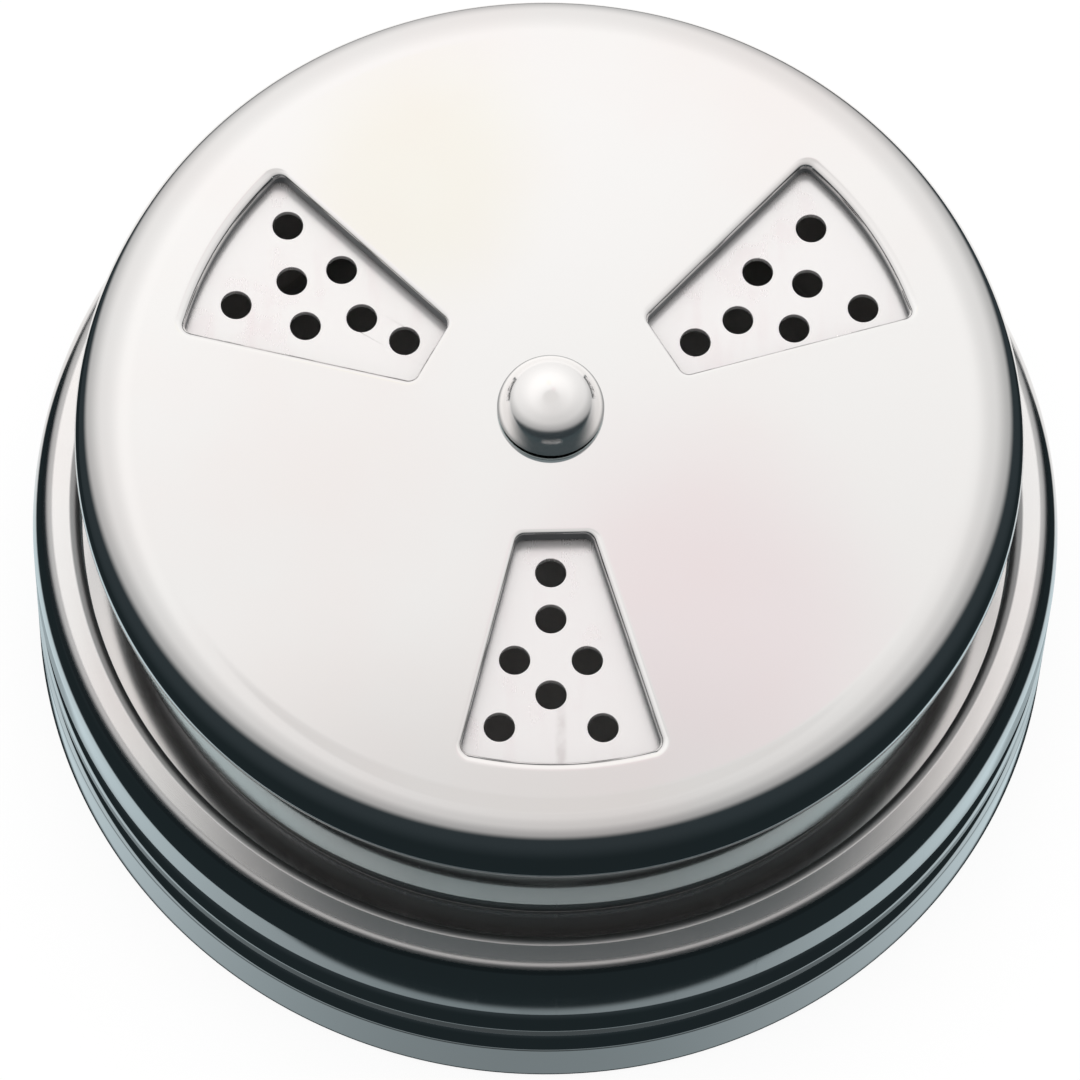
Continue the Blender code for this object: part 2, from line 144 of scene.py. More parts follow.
# Polished steel: colours, and what each mark adds to the roughness
STEEL = (0.72, 0.712, 0.705, 1.0)
STEEL_WARM = (0.72, 0.69, 0.68, 1.0)
POLISHED = 0.05
KNOB_STEEL = (0.78, 0.772, 0.765, 1.0)
KNOB_STEEL_WARM = (0.78, 0.75, 0.74, 1.0)
KNOB_ROUGHNESS = 0.12
# Mesh layer that marks the cap's punched window walls for painted shade
SHADED_CUT_EDGE = "shaded_cut_edge"
# Painted shade: the dark steel on the cap's punched window walls and on the lid's neck and rim corners
SHADED_EDGE_STEEL = (0.1, 0.108, 0.112, 1.0)
HAIRLINE_LIMITS = (0.66, 0.78)
HAIRLINE_BUMP = 0.05
SMUDGE_ROUGHNESS = 0.03
HAIRLINE_ROUGHNESS = 0.03
FILM_ROUGHNESS = 2.6
SHADED_EDGE_ROUGHNESS = 0.3

# Where the lid has a thin film: limits of reach and height in mm, and how dull it is there
GROOVE_FILM_REACH = (34.6, 35.0)
GROOVE_FILM_HEIGHT = (18.3, 19.0)
GROOVE_FILM = 0.045
RIM_FILM_REACH = (34.2, 34.5)
RIM_FILM_HEIGHT = (19.8, 20.0)
RIM_FILM = 0.065

# Where the lid gets painted shade, in the same way
NECK_FOOT_REACH = (31.9, 32.1)
NECK_FOOT_HEIGHT = (21.0, 23.0)
NECK_FOOT_SHADE = 0.7
INNER_CORNER_REACH = (35.1, 35.3)
INNER_CORNER_SHADE = 0.7
OUTER_CORNER_REACH = (36.4, 36.6)
OUTER_CORNER_SHADE = 0.45
CORNER_HEIGHT = (19.4, 19.6)

# Where the cup's matt inside is
CHAMBER_REACH = (35.95, 36.15)
CHAMBER_HEIGHT = (14.15, 14.35)
BAND_REACH = (37.7, 37.8)
BAND_HEIGHT = (5.3, 5.5)
BASE_HEIGHT = (0.2, 0.3)
INSIDE_FILM = 0.9

# Rolled steel of the sieve, with its rubbed mark
SIEVE_STEEL = (0.68, 0.664, 0.66, 1.0)
SIEVE_STEEL_WARM = (0.65, 0.6, 0.605, 1.0)
SIEVE_ROUGHNESS = 0.22
SIEVE_METALLIC = 0.65
GRAIN_ROUGHNESS = 0.05
RUB_CENTRE = (0.7 * MM, -25.5 * MM, 0.0)
RUB_SHAPE = (1.0, 0.1, 0.0)
RUB_REACH = (0.1, 0.55)
RUB_SHARE = 0.5
RUBBED = (0.42, 0.38, 0.38, 1.0)

# Plastics and fastener steel: what each mark adds to the roughness
SPECK_ROUGHNESS = 0.12
TURNED_ROUGHNESS = 0.08
PATCH_ROUGHNESS = 0.1

# Hidden pieces: node, slot, two colours, roughness, the plastics' grain, and where the pattern starts
MOULDED_PIECES = (
    ("seal_gasket", "seal_silicone", (0.75, 0.76, 0.76), (0.62, 0.64, 0.65), 0.5, 1500.0, 0.5),
    ("thread_insert", "insert_plastic", (0.05, 0.05, 0.055), (0.03, 0.03, 0.033), 0.4, 2500.0, 0.6),
    ("glide_washer", "glide_nylon", (0.85, 0.84, 0.8), (0.76, 0.74, 0.68), 0.4, 1800.0, 0.7),
)
TURNED_PIECES = (
    ("pivot_stud", "stud_steel", (0.6, 0.6, 0.6), (0.45, 0.44, 0.42), 0.22, 0.8),
    ("flat_washer", "washer_steel", (0.62, 0.62, 0.62), (0.48, 0.48, 0.47), 0.24, 0.9),
    ("spring_washer", "spring_steel", (0.5, 0.5, 0.5), (0.36, 0.33, 0.3), 0.3, 1.0),
    ("lock_nut", "nut_steel", (0.6, 0.6, 0.6), (0.5, 0.48, 0.44), 0.25, 1.1),
)

# Camera, as fitted to the photo
IMAGE_PIXELS = 1080
CAP_CENTRE_PIXEL = (550.6, 409.0)
CAMERA_DISTANCE = 684.0 * MM
CAMERA_ELEVATION = math.radians(65.67)
CAMERA_AZIMUTH = math.radians(-92.54)
CAMERA_ROLL = math.radians(2.6)
PIXELS_PER_RADIAN = 9464.0
SENSOR_WIDTH_MM = 36.0

# Floor, lamp and world
FLOOR_HALF = 3.0
FLOOR_DROP = 0.02 * MM
FLOOR_COLOR = (0.9, 0.9, 0.9, 1.0)
FLOOR_WHITE_SHARE = 0.9
LAMP_SIZE = 0.8
LAMP_ENERGY = 4.0
LAMP_PLACE = (0.0, 0.1, 0.7)
ROOM_COLOR = (0.8, 0.8, 0.8, 1.0)
WHITE = (1.0, 1.0, 1.0, 1.0)

# Cloth tent that shows only in the steel
TENT_RADIUS = 72.0 * MM
TENT_HEIGHT = 320.0 * MM
TENT_FRONT = CAMERA_AZIMUTH + math.radians(7.5)
TENT_SHADE = CAMERA_AZIMUTH + math.radians(20.0)
TENT_DARK = (0.015, 0.023, 0.026, 1.0)
TENT_DUSK = (0.034, 0.046, 0.052, 1.0)
TENT_CLOTH = (1.39, 1.38, 1.37, 1.0)
TENT_ROOF = (0.95, 0.94, 0.93, 1.0)
TENT_PINK = (1.34, 1.23, 1.25, 1.0)
PINK_SPOT = (19.0 * MM, 68.5 * MM, 240.0 * MM)
PINK_RADII = (6.0, 25.0)
TENT_YELLOW = (1.37, 1.35, 1.26, 1.0)
YELLOW_SPOT = (-9.0 * MM, 71.0 * MM, 147.0 * MM)
YELLOW_RADII = (4.0, 14.0)
SPOT_SHAPE = (1.0, 1.0, 0.4)

# The wall's dark edge and the cloth above it: heights in mm, steps as a share and its limits
EDGE_HEIGHT = 30.0
EDGE_SWING = 28.0
DUSK_LIMITS = (-40.0, -12.0)
LIT_STEPS = ((0.5, -4.0, 8.0), (0.35, 4.0, 35.0), (0.15, 30.0, 100.0))
HIGH_STEPS = ((0.4, 120.0, 240.0), (0.6, 230.0, 300.0))
CLOTH_LEVEL = 0.81
CLOTH_SHADE = 0.15
HIGH_LEVEL = 0.7

# The tent's tones where the steel shows it at second and third hand: painted shade that darkens
# reflections seen after more than one bounce, with painted light where low cloth at the sides and back
# comes out brighter
SECOND_HAND_DEPTH = 1.5
THIRD_HAND_DEPTH = 2.5
TENT_DARK_AGAIN = (0.066, 0.092, 0.102, 1.0)
TENT_ROOF_AGAIN = (0.27, 0.33, 0.35, 1.0)
AGAIN_FRONT = (0.0, 0.85)
AGAIN_FRONT_SHARE = 0.98
AGAIN_LOW = (85.0, 130.0)
AGAIN_HIGH_SHARE = 0.3
AGAIN_GLOW = 1.3
TENT_THIRD = (0.39, 0.477, 0.493)
THIRD_LEVEL = 1.9
THIRD_SWING = 0.9

# Ring of painted shadow on the ground round the foot, seen only in the steel: limits of direction, then
# radii in mm, then tones
FOOT_SIDE = (0.2, 0.9)
FOOT_BACK = (-0.8, -0.3)
FOOT_BEHIND = (-0.35, -0.02)
FOOT_START = (38.2, 38.4)
FOOT_LIMIT = 43.2
FOOT_LIMIT_SIDE = 6.0
FOOT_LIMIT_BACK = 25.0
FOOT_FADE = 0.5
FOOT_FADE_SIDE = 3.5
FOOT_RISE = 0.72
FOOT_RISE_MOST = 0.47
LINE_SHIFT = 4.25
LINE_START = (40.4, 41.0)
LINE_END = (42.2, 42.8)
LINE_DEPTH = 0.7
LINE_DEPTH_LOSS = 0.5
FOOT_LEVEL = 0.265
FOOT_LEVEL_BACK = 0.13
FOOT_SLATE = (0.83, 1.0, 1.06, 1.0)
FOOT_PALE = (1.22, 1.21, 1.2, 1.0)


class Value:
    """An output socket. Python's operators on it add Math nodes."""

    def __init__(self, nodes, socket):
        self.nodes = nodes
        self.socket = socket

    def math(self, operation, first, second=0.0):
        return self.nodes.add("ShaderNodeMath", {"operation": operation}, {0: first, 1: second})

    def __add__(self, other):
        return self.math("ADD", self, other)

    def __radd__(self, other):
        return self.math("ADD", other, self)

    def __sub__(self, other):
        return self.math("SUBTRACT", self, other)

    def __rsub__(self, other):
        return self.math("SUBTRACT", other, self)

    def __mul__(self, other):
        return self.math("MULTIPLY", self, other)

    def __rmul__(self, other):
        return self.math("MULTIPLY", other, self)

    def __truediv__(self, other):
        return self.math("DIVIDE", self, other)


class Nodes:
    """A node tree that is being written."""

    def __init__(self, owner):
        owner.use_nodes = True
        self.tree = owner.node_tree
        self.tree.nodes.clear()

    def add(self, kind, settings=None, sockets=None, output=0):
        """Any node: its settings first, then its sockets' values or links. Returns one of its outputs."""
        made = self.tree.nodes.new(kind)
        for name, value in (settings or {}).items():
            setattr(made, name, value)
        for name, value in (sockets or {}).items():
            if isinstance(value, Value):
                self.tree.links.new(value.socket, made.inputs[name])
            else:
                made.inputs[name].default_value = value
        return Value(self, made.outputs[output]) if made.outputs else None

    def place(self):
        """Object coordinates."""
        return self.add("ShaderNodeTexCoord", output="Object")

    def moved(self, offset=0.0):
        """Object coordinates, moved so that each finish has a pattern of its own."""
        sockets = {"Vector": self.place(), "Location": (offset, offset, offset)}
        return self.add("ShaderNodeMapping", sockets=sockets)

    def stretched(self, place, scale, turn=0.0):
        sockets = {"Vector": place, "Scale": scale, "Rotation": (0, 0, turn)}
        return self.add("ShaderNodeMapping", sockets=sockets)

    def vector(self, operation, first, second=None, output="Vector"):
        sockets = {0: first} if second is None else {0: first, 1: second}
        return self.add("ShaderNodeVectorMath", {"operation": operation}, sockets, output)

    def scaled(self, color, value):
        sockets = {0: color, "Scale": value}
        return self.add("ShaderNodeVectorMath", {"operation": "SCALE"}, sockets, "Vector")

    def level(self, place):
        """A place's part in the level plane."""
        return self.vector("MULTIPLY", place, (1, 1, 0))

    def length(self, vector):
        """A vector's length in mm."""
        return self.vector("LENGTH", vector, output="Value") / MM

    def height(self, place):
        """A place's height in mm."""
        return self.add("ShaderNodeSeparateXYZ", sockets={0: place}, output="Z") / MM

    def reach_and_height(self):
        """How far a place is from the shaker's axis and how high it is, in mm."""
        place = self.place()
        return self.length(self.level(place)), self.height(place)

    def noise(self, place, scale, detail=2.0):
        return self.add("ShaderNodeTexNoise", sockets={"Vector": place, "Scale": scale, "Detail": detail})

    def between(self, value, low, high, first=0.0, last=1.0):
        """The value eased from first to last as it goes from low to high."""
        limits = {"Value": value, "From Min": low, "From Max": high, "To Min": first, "To Max": last}
        return self.add("ShaderNodeMapRange", {"interpolation_type": "SMOOTHSTEP"}, limits)

    def rising(self, value, limits):
        return self.between(value, *limits)

    def falling(self, value, limits):
        return self.between(value, *limits, first=1.0, last=0.0)

    def stepped(self, value, steps):
        """The sum of eased steps, each given as its share and its limits."""
        total, *others = [share * self.between(value, low, high) for share, low, high in steps]
        for part in others:
            total = total + part
        return total

    def mixed(self, factor, first, second):
        return self.add("ShaderNodeMix", {"data_type": "RGBA"}, {0: factor, 6: first, 7: second}, 2)

    def bump(self, height, strength, distance):
        sockets = {"Height": height, "Strength": strength, "Distance": distance}
        return self.add("ShaderNodeBump", sockets=sockets)

    def surface(self, sockets):
        shader = self.add("ShaderNodeBsdfPrincipled", sockets=sockets)
        self.add("ShaderNodeOutputMaterial", sockets={"Surface": shader})


def lid_film(nodes):
    """How dull the lid is: a thin film on the groove's floor and on the rim's top."""
    reach, height = nodes.reach_and_height()
    groove = nodes.falling(height, GROOVE_FILM_HEIGHT) * nodes.falling(reach, GROOVE_FILM_REACH)
    rim = nodes.rising(height, RIM_FILM_HEIGHT) * nodes.rising(reach, RIM_FILM_REACH)
    return GROOVE_FILM * groove + RIM_FILM * rim


def lid_painted_shade(nodes):
    """Painted shade on the lid: on the neck's foot, on the rim's inner corner and the neck inside it, and
    on the rim's outer corner.
    """
    reach, height = nodes.reach_and_height()
    foot = nodes.falling(reach, NECK_FOOT_REACH) * nodes.falling(height, NECK_FOOT_HEIGHT)
    inner = INNER_CORNER_SHADE * nodes.falling(reach, INNER_CORNER_REACH)
    outer = OUTER_CORNER_SHADE * nodes.rising(reach, OUTER_CORNER_REACH)
    return NECK_FOOT_SHADE * foot + (inner + outer) * nodes.rising(height, CORNER_HEIGHT)


def cup_film(nodes):
    """How dull the cup is: its inside is left matt, as drawn."""
    reach, height = nodes.reach_and_height()
    chamber = nodes.falling(reach, CHAMBER_REACH) * nodes.falling(height, CHAMBER_HEIGHT)
    band = nodes.falling(reach, BAND_REACH) * nodes.falling(height, BAND_HEIGHT)
    inside = chamber.math("MAXIMUM", chamber, band) * nodes.rising(height, BASE_HEIGHT)
    return INSIDE_FILM * inside


def cap_shaded_cut_edges(nodes):
    """1 on the punched walls of the windows, fading out over their rolled edges: where the cap is painted
    darker as shade, and is rougher as punched.
    """
    return nodes.add("ShaderNodeAttribute", {"attribute_name": SHADED_CUT_EDGE}, output="Fac")


def polished_steel(name, bright, warm, roughness, offset, film=None, shaded_edges=None):
    """Mirror-polished sheet: faint warm clouds, wiped smudges and hairlines from polishing.

    A film makes it dull in places, and a mask paints shade on some edges: darker steel there, also
    rougher.
    """
    finish = bpy.data.materials.new(name)
    nodes = Nodes(finish)
    place = nodes.moved(offset)
    dull = film(nodes) if film else 0.0
    edge_shade = shaded_edges(nodes) if shaded_edges else 0.0
    cloud = nodes.between(nodes.noise(place, scale=45.0, detail=3.0), low=0.35, high=0.7)
    smudge = nodes.between(nodes.noise(place, scale=160.0, detail=4.0), low=0.5, high=0.75)
    across = nodes.stretched(place, scale=(40.0, 2600.0, 40.0), turn=0.4)
    along = nodes.stretched(place, scale=(2400.0, 36.0, 36.0), turn=-0.3)
    hair_one = nodes.rising(nodes.noise(across, scale=1.0, detail=1.0), HAIRLINE_LIMITS)
    hair_two = nodes.rising(nodes.noise(along, scale=1.0, detail=1.0), HAIRLINE_LIMITS)
    hairline = hair_one + hair_two
    ripple = nodes.noise(place, scale=220.0, detail=2.0)
    rough = roughness + SMUDGE_ROUGHNESS * smudge + HAIRLINE_ROUGHNESS * hairline
    relief = ripple + HAIRLINE_BUMP * hairline
    nodes.surface({
        # painted shade: where the mask is 1 the colour is the dark edge steel
        "Base Color": nodes.mixed(edge_shade, nodes.mixed(cloud, bright, warm), SHADED_EDGE_STEEL),
        "Metallic": 1.0 - dull,
        "Roughness": rough + FILM_ROUGHNESS * dull + SHADED_EDGE_ROUGHNESS * edge_shade,
        "Normal": nodes.bump(relief, strength=0.02, distance=0.1 * MM),
    })
    return finish


def rubbed_mark(nodes):
    """A faint rubbed mark down the middle of the sieve's front group of holes."""
    place = nodes.place()
    away = nodes.vector("SUBTRACT", place, RUB_CENTRE)
    reach = nodes.length(nodes.vector("MULTIPLY", away, RUB_SHAPE))
    noise = nodes.noise(place, scale=900.0, detail=3.0)
    patchy = nodes.between(noise, low=0.3, high=0.65, first=0.35, last=1.0)
    return RUB_SHARE * patchy * nodes.falling(reach, RUB_REACH)


def rolled_steel(name, bright, warm, roughness, offset):
    """Bright rolled sheet under a thin dull film: a fine grain one way, wiped streaks and smudges."""
    finish = bpy.data.materials.new(name)
    nodes = Nodes(finish)
    place = nodes.moved(offset)
    grain = nodes.noise(nodes.stretched(place, scale=(5200.0, 160.0, 160.0)), scale=1.0, detail=2.0)
    wiped = nodes.noise(nodes.stretched(place, scale=(520.0, 90.0, 90.0)), scale=1.0, detail=3.0)
    streak = nodes.between(wiped, low=0.52, high=0.74)
    smudge = nodes.between(nodes.noise(place, scale=240.0, detail=4.0), low=0.5, high=0.72)
    sheet = nodes.mixed(0.5 * streak + 0.5 * smudge, bright, warm)
    nodes.surface({
        "Base Color": nodes.mixed(rubbed_mark(nodes), sheet, RUBBED),
        "Metallic": SIEVE_METALLIC,
        "Roughness": roughness + GRAIN_ROUGHNESS * grain + GRAIN_ROUGHNESS * smudge,
        "Normal": nodes.bump(grain, strength=0.03, distance=0.05 * MM),
    })
    return finish


def turned_steel(name, bright, dark, roughness, offset):
    """Plain fastener steel: rings left by turning, with dull patches."""
    finish = bpy.data.materials.new(name)
    nodes = Nodes(finish)
    place = nodes.moved(offset)
    rings = nodes.add(
        "ShaderNodeTexWave", {"wave_type": "RINGS", "rings_direction": "Z"},
        {"Vector": nodes.moved(), "Scale": 1400.0, "Distortion": 1.2, "Detail": 2.0},
    )
    dull = nodes.between(nodes.noise(place, scale=700.0, detail=3.0), low=0.4, high=0.7)
    nodes.surface({
        "Base Color": nodes.mixed(dull, bright, dark),
        "Metallic": 1.0,
        "Roughness": roughness + TURNED_ROUGHNESS * rings + PATCH_ROUGHNESS * dull,
        "Normal": nodes.bump(rings, strength=0.12, distance=0.03 * MM),
    })
    return finish


def moulded(name, light, dark, roughness, grain, offset):
    """Moulded plastic or silicone: soft clouds of colour and a fine matt grain."""
    finish = bpy.data.materials.new(name)
    nodes = Nodes(finish)
    place = nodes.moved(offset)
    cloud = nodes.between(nodes.noise(place, scale=120.0, detail=3.0), low=0.35, high=0.7)
    speck = nodes.noise(place, scale=grain, detail=2.0)
    nodes.surface({
        "Base Color": nodes.mixed(cloud, light, dark),
        "Roughness": roughness + SPECK_ROUGHNESS * speck,
        "Normal": nodes.bump(speck, strength=0.25, distance=0.04 * MM),
    })
    return finish


def arc(center, radius, start, end, steps=ARC_STEPS):
    """Points on an arc, with its angles in degrees."""
    angles = [math.radians(start + (end - start) * i / steps) for i in range(steps + 1)]
    return [(center[0] + radius * math.cos(a), center[1] + radius * math.sin(a)) for a in angles]


def supported(path):
    """The path with a point close to both ends of each long straight run, so that shading stays true."""
    points = [Vector(point) for point in path]
    made = [points[0]]
    for first, last in zip(points, points[1:]):
        run = last - first
        if run.length > 4 * SUPPORT:
            made += [first + run.normalized() * SUPPORT, last - run.normalized() * SUPPORT]
        made.append(last)
    return made


def spin(bm, path):
    """A path (radius, height) turned about Z."""
    verts = [bm.verts.new((r, 0.0, z)) for r, z in path]
    edges = [bm.edges.new(pair) for pair in zip(verts, verts[1:])]
    bmesh.ops.spin(
        bm, geom=verts + edges, cent=(0, 0, 0), axis=(0, 0, 1),
        angle=2 * math.pi, steps=SEGMENTS, use_merge=True,
    )


def closed_loop(bm, points):
    """A closed loop through points: its vertices and its edges."""
    verts = [bm.verts.new(point) for point in points]
    return verts, [bm.edges.new(pair) for pair in zip(verts, verts[1:] + verts[:1])]


def draw_on(bm, loop, places, layer, value):
    """Extrudes a loop to new places, with a value in a layer. Returns the new loop."""
    verts, edges = loop
    made = bmesh.ops.extrude_edge_only(bm, edges=edges)
    fresh = {item for item in made["geom"] if isinstance(item, bmesh.types.BMVert)}
    moved = [next(e.other_vert(v) for e in v.link_edges if e.other_vert(v) in fresh) for v in verts]
    for vert, place in zip(moved, places):
        vert.co = place
        vert[layer] = value
    return moved, [bm.edges.get(pair) for pair in zip(moved, moved[1:] + moved[:1])]


def ring_edges(bm, center, radius, height, steps):
    points = [(x, y, height) for x, y in arc(center, radius, 0, 360, steps)[:-1]]
    return closed_loop(bm, points)[1]


def close_and_face_out(bm):
    bmesh.ops.remove_doubles(bm, verts=bm.verts, dist=WELD)
    bmesh.ops.recalc_face_normals(bm, faces=bm.faces)


def smooth_object(name, bm, finish):
    """A finished mesh, as an object in the scene."""
    mesh = bpy.data.meshes.new(name)
    bm.to_mesh(mesh)
    bm.free()
    mesh.shade_smooth()
    mesh.materials.append(finish)
    made = bpy.data.objects.new(name, mesh)
    bpy.context.scene.collection.objects.link(made)
    return made


def piece(name, bm, finish, body):
    """A piece of the shaker, which rides on a body."""
    made = smooth_object(name, bm, finish)
    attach(made, body)
    return made


def round_edges(made, width):
    edges = made.modifiers.new("rounded_edges", "BEVEL")
    edges.width = width
    edges.segments = ROUNDING_STEPS
    edges.limit_method = "ANGLE"
    edges.angle_limit = ROUNDED_ANGLE
    edges.harden_normals = True


def thicken(made):
    """Gives a shell the sheet's thickness, on its inner side."""
    sheet = made.modifiers.new("sheet", "SOLIDIFY")
    sheet.thickness = SHEET
    sheet.offset = -1.0
    sheet.use_even_offset = True
    round_edges(made, EDGE_ROUNDING)


def window_rim(direction):
    """Points round a window, each with its outward direction and the radius of its rolled edge."""
    half = math.degrees(WINDOW_HALF)
    outer = WINDOW_OUTER - WINDOW_CORNER
    lean = math.asin(WINDOW_CORNER / outer)
    outer_half = WINDOW_HALF - lean
    turn = math.degrees(outer_half)
    outer_reach = outer * math.cos(outer_half)
    outer_side = outer * math.sin(outer_half)
    inner = WINDOW_INNER + WINDOW_CORNER
    inner_side = inner * math.tan(WINDOW_HALF) - WINDOW_CORNER / math.cos(WINDOW_HALF)
    stretches = (
        ((outer_reach, -outer_side), WINDOW_CORNER, -half - 90.0, -turn, ROLL_RIGHT, ROLL_OUTER),
        ((0.0, 0.0), WINDOW_OUTER, -turn, turn, ROLL_OUTER, ROLL_OUTER),
        ((outer_reach, outer_side), WINDOW_CORNER, turn, half + 90.0, ROLL_OUTER, ROLL_LEFT),
        ((inner, inner_side), WINDOW_CORNER, half + 90.0, 180.0, ROLL_LEFT, ROLL_INNER),
        ((inner, -inner_side), WINDOW_CORNER, 180.0, 270.0 - half, ROLL_INNER, ROLL_RIGHT),
    )
    spots = []
    for center, radius, first, last, first_roll, last_roll in stretches:
        places = arc(center, radius, first, last)
        ways = arc((0.0, 0.0), 1.0, first, last)
        rolls = [first_roll + (last_roll - first_roll) * i / ARC_STEPS for i in range(ARC_STEPS + 1)]
        spots += [(Vector(p), Vector(w), r) for p, w, r in zip(places, ways, rolls)]
    follows = spots[1:] + spots[:1]
    apart = [spot for spot, after in zip(spots, follows) if (spot[0] - after[0]).length > SAME_PLACE]
    spun = Matrix.Rotation(direction, 2)
    return [(spun @ place, spun @ way, roll) for place, way, roll in apart]


def window_directions(turn):
    return [-math.pi / 2 + turn + 2 * math.pi * i / WINDOW_COUNT for i in range(WINDOW_COUNT)]


def roll_window(bm, direction):
    """A window's rolled edge and lip. Returns its loops on the cap's top and on the cap's underside."""
    profiles = []
    for place, way, roll in window_rim(direction):
        profile = [(roll + SUPPORT, CAP_TOP)]
        profile += arc((roll, CAP_TOP - roll), roll, 90, 180)
        profile += [(0.0, LIP_BOTTOM), (SHEET, LIP_BOTTOM), (SHEET, CAP_UNDERSIDE)]
        profiles.append([(*(place + way * out), height) for out, height in profile])
    first, *others = zip(*profiles)
    half_roll = ARC_STEPS / 2
    # The layer carries the painted-shade weight: 0 on the top and the first half of the roll, rising to 1
    # down the lip
    layer = bm.verts.layers.float[SHADED_CUT_EDGE]
    top = closed_loop(bm, first)
    loop = top
    for step, places in enumerate(others):
        share = min(max(step / half_roll - 1.0, 0.0), 1.0)
        loop = draw_on(bm, loop, places, layer, share * share)
    return top[1], loop[1]


def build_cap(finish):
    """The turning cap: a flat top with rolled windows, a rounded edge and a skirt that closes in."""
    center = Vector((BODY_RADIUS - CAP_INSET - CAP_EDGE, CAP_TOP - CAP_EDGE))
    mouth = Vector((BODY_RADIUS - CAP_INSET - CAP_TAPER, CAP_MOUTH))
    reach = mouth - center
    tangent = math.atan2(reach.y, reach.x) + math.acos(CAP_EDGE / reach.length)
    end = math.degrees(tangent)
    inner_mouth = mouth - SHEET * Vector((math.cos(tangent), math.sin(tangent)))
    path = [(center.x - SUPPORT, CAP_TOP)]
    path += supported(arc(center, CAP_EDGE, 90, end, CAP_EDGE_STEPS) + [mouth])
    path += supported([inner_mouth] + arc(center, CAP_EDGE - SHEET, end, 90, CAP_EDGE_STEPS))
    path.append((center.x - SUPPORT, CAP_UNDERSIDE))
    bm = bmesh.new()
    bm.verts.layers.float.new(SHADED_CUT_EDGE)
    spin(bm, path)
    ends = [e for e in bm.edges if e.is_boundary]
    halfway = (CAP_TOP + CAP_UNDERSIDE) / 2
    top = [e for e in ends if e.verts[0].co.z > halfway]
    underside = [e for e in ends if e.verts[0].co.z < halfway]
    bore = [ring_edges(bm, (0, 0), STUD_HOLE, height, BORE_SIDES) for height in (CAP_TOP, CAP_UNDERSIDE)]
    bmesh.ops.bridge_loops(bm, edges=bore[0] + bore[1])
    top += bore[0]
    underside += bore[1]
    for direction in window_directions(CAP_REST_TURN):
        above, below = roll_window(bm, direction)
        top += above
        underside += below
    bmesh.ops.triangle_fill(bm, use_beauty=True, edges=top, normal=(0, 0, 1))
    bmesh.ops.triangle_fill(bm, use_beauty=True, edges=underside, normal=(0, 0, -1))
    close_and_face_out(bm)
    cap = piece("polished_cap", bm, finish, "cap")
    round_edges(cap, FINE_ROUNDING)
    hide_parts("rotating_cap")


def build_knob(finish):
    """The dome, with a small rounding where it meets the cap."""
    start = math.degrees(math.asin((KNOB_BASE - CAP_TOP) / KNOB_RADIUS))
    foot = KNOB_RADIUS - 2 * EDGE_ROUNDING
    path = [(0.0, KNOB_BASE), (foot, KNOB_BASE)]
    path += arc((0.0, CAP_TOP), KNOB_RADIUS, start, 90, KNOB_STEPS)[:-1]
    path.append((0.0, CAP_TOP + KNOB_RADIUS))
    bm = bmesh.new()
    spin(bm, path)
    close_and_face_out(bm)
    knob = piece("polished_knob", bm, finish, "cap")
    round_edges(knob, EDGE_ROUNDING)
    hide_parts("knob")


def build_sieve(finish):
    """The drilled plate under the windows."""
    bm = bmesh.new()
    flat = ring_edges(bm, (0, 0), SIEVE_RADIUS, SIEVE_TOP, SEGMENTS)
    flat += ring_edges(bm, (0, 0), STUD_HOLE, SIEVE_TOP, BORE_SIDES)
    for direction in window_directions(0.0):
        for radius, offset in HOLE_PLACES:
            angle = direction + math.radians(offset)
            center = (radius * math.cos(angle), radius * math.sin(angle))
            flat += ring_edges(bm, center, HOLE_RADIUS, SIEVE_TOP, HOLE_SIDES)
    bmesh.ops.triangle_fill(bm, use_beauty=True, edges=flat, normal=(0, 0, 1))
    lowered = bmesh.ops.extrude_face_region(bm, geom=bm.faces[:], use_keep_orig=True)
    verts = [item for item in lowered["geom"] if isinstance(item, bmesh.types.BMVert)]
    bmesh.ops.translate(bm, verts=verts, vec=(0, 0, -SHEET))
    close_and_face_out(bm)
    sieve = piece("drilled_sieve", bm, finish, "lid")
    round_edges(sieve, FINE_ROUNDING)
    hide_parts("sieve_plate")


def build_lid(finish):
    """One drawn sheet: flange over the sieve, neck, groove, raised rim, rolled side and plain edge."""
    neck = BODY_RADIUS - CAP_INSET - CAP_TAPER - SHEET - CAP_RUNNING_CLEARANCE
    rim_top = LID_EDGE + RIM_RISE
    floor = rim_top - GROOVE_DEPTH
    rim_outer = BODY_RADIUS - RIM_INSET
    rim_inner = rim_outer - RIM_WIDTH
    side_center = BODY_RADIUS - SIDE_CURVE
    side_start = math.degrees(math.acos((rim_outer - side_center) / SIDE_CURVE))
    lean = math.radians(side_start)
    flat = rim_top - RIM_STEP
    step = math.acos(1.0 - RIM_STEP / (2.0 * RIM_CORNER))
    step_foot = (rim_inner + 2.0 * RIM_CORNER * math.sin(step), flat + RIM_CORNER)
    fall = math.degrees(step)
    corner = (rim_outer - RIM_CORNER * math.cos(lean), flat - RIM_CORNER)
    side_height = flat - RIM_CORNER * (1.0 - math.sin(lean)) - SIDE_CURVE * math.sin(lean)
    path = [(FLANGE_INNER_RADIUS, LID_TOP)]
    path += arc((neck - NECK_EDGE, LID_TOP - NECK_EDGE), NECK_EDGE, 90, 0)
    path += arc((neck + GROOVE_CORNER, floor + GROOVE_CORNER), GROOVE_CORNER, 180, 270)
    path.append((rim_inner - RIM_CORNER, floor))
    path += arc((rim_inner, rim_top - RIM_CORNER), RIM_CORNER, 180, 90 - fall)
    path += arc(step_foot, RIM_CORNER, 270 - fall, 270, RIM_STEP_STEPS)[1:]
    path += arc(corner, RIM_CORNER, 90, side_start)
    path += arc((side_center, side_height), SIDE_CURVE, side_start, 0, SIDE_STEPS)[1:]
    path.append((BODY_RADIUS, LID_EDGE))
    bm = bmesh.new()
    spin(bm, supported(path))
    close_and_face_out(bm)
    lid = piece("polished_lid", bm, finish, "lid")
    thicken(lid)
    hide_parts("lid_shell")


